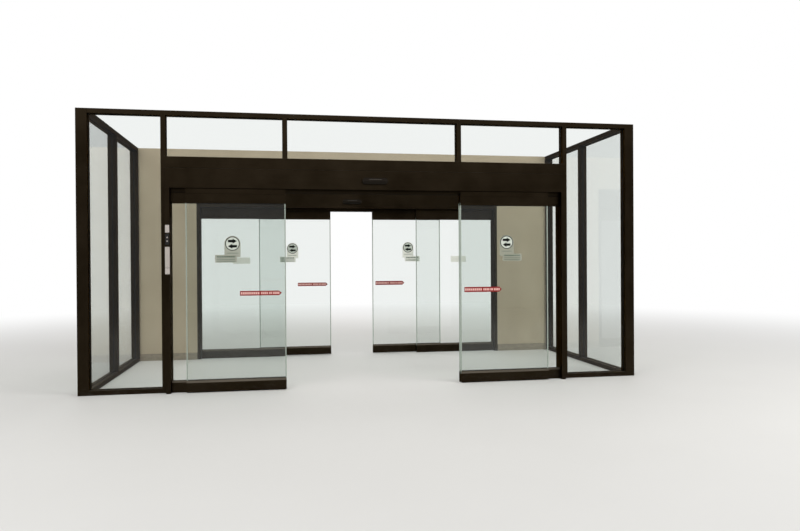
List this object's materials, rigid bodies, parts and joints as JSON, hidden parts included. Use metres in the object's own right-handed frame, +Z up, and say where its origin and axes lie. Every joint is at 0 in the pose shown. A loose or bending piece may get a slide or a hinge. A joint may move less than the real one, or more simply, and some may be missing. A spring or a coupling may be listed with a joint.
{
  "type": "glazed entrance vestibule with automatic sliding doors",
  "caption": "Dark bronze aluminium and glass entrance vestibule against a wall, with bi-parting sliding glass doors on its lobby side and its street side.",
  "frame": {"origin": "on the floor under the middle of the bounding box", "axes": "+X across the doors to the right as seen from the lobby, +Y from the lobby to the street, +Z up"},
  "size_m": [6.35, 2.892, 3.05],
  "materials": {
    "bronze_aluminium": "dark bronze anodised, satin",
    "fixed_glass": "clear, slightly green",
    "door_glass": "clear toughened, green at its polished edges",
    "gasket_rubber": "matt black",
    "plaster_wall": "painted plaster, matt",
    "skirting_tile": "matt grey-beige tile",
    "track_aluminium": "mill finish",
    "belt_rubber": "matt black",
    "running_gear_steel": "zinc plated",
    "sensor_housing": "satin black",
    "switch_plate": "satin white"
  },
  "bodies": {
    "root": {"corner_posts": "bronze_aluminium", "jamb_mullions": "bronze_aluminium", "transom_mullions": "bronze_aluminium", "head_rail": "bronze_aluminium", "sill_rails": "bronze_aluminium", "corner_glass": "fixed_glass", "transom_glass": "fixed_glass", "side_mullions": "bronze_aluminium", "side_rails": "bronze_aluminium", "side_glass": "fixed_glass", "glazing_gaskets": "gasket_rubber", "rear_wall_piers": "plaster_wall", "rear_wall_over_door": "plaster_wall", "rear_skirting": "skirting_tile", "front_header": "bronze_aluminium", "front_header_cover": "bronze_aluminium", "front_track": "track_aluminium", "front_belt": "belt_rubber", "front_jambs": "bronze_aluminium", "front_sidelite_rails": "bronze_aluminium", "front_sidelite_glass": "door_glass", "rear_header": "bronze_aluminium", "rear_header_cover": "bronze_aluminium", "rear_track": "track_aluminium", "rear_belt": "belt_rubber", "rear_jambs": "bronze_aluminium", "rear_sidelite_rails": "bronze_aluminium", "rear_sidelite_glass": "door_glass", "motion_sensors": "sensor_housing", "floor_guides": "running_gear_steel", "switch_plates": "switch_plate"},
    "front_leaf_left": {"front_left_rails": "bronze_aluminium", "front_left_glass": "door_glass", "front_left_carriages": "running_gear_steel"},
    "front_leaf_right": {"front_right_rails": "bronze_aluminium", "front_right_glass": "door_glass", "front_right_carriages": "running_gear_steel"},
    "rear_leaf_left": {"rear_left_rails": "bronze_aluminium", "rear_left_glass": "door_glass", "rear_left_carriages": "running_gear_steel"},
    "rear_leaf_right": {"rear_right_rails": "bronze_aluminium", "rear_right_glass": "door_glass", "rear_right_carriages": "running_gear_steel"}
  },
  "joints": [
    {"name": "front_left_slide", "type": "slide", "parent": "root", "child": "front_leaf_left", "axis": [1, 0, 0], "range_m": [0, 0.99]},
    {"name": "front_right_slide", "type": "slide", "parent": "root", "child": "front_leaf_right", "axis": [-1, 0, 0], "range_m": [0, 0.99]},
    {"name": "rear_left_slide", "type": "slide", "parent": "root", "child": "rear_leaf_left", "axis": [1, 0, 0], "range_m": [-0.673, 0.317]},
    {"name": "rear_right_slide", "type": "slide", "parent": "root", "child": "rear_leaf_right", "axis": [-1, 0, 0], "range_m": [-0.673, 0.317]}
  ],
  "couplings": [
    {"joint": "front_right_slide", "follows": "front_left_slide", "ratio": 1},
    {"joint": "rear_right_slide", "follows": "rear_left_slide", "ratio": 1}
  ]
}
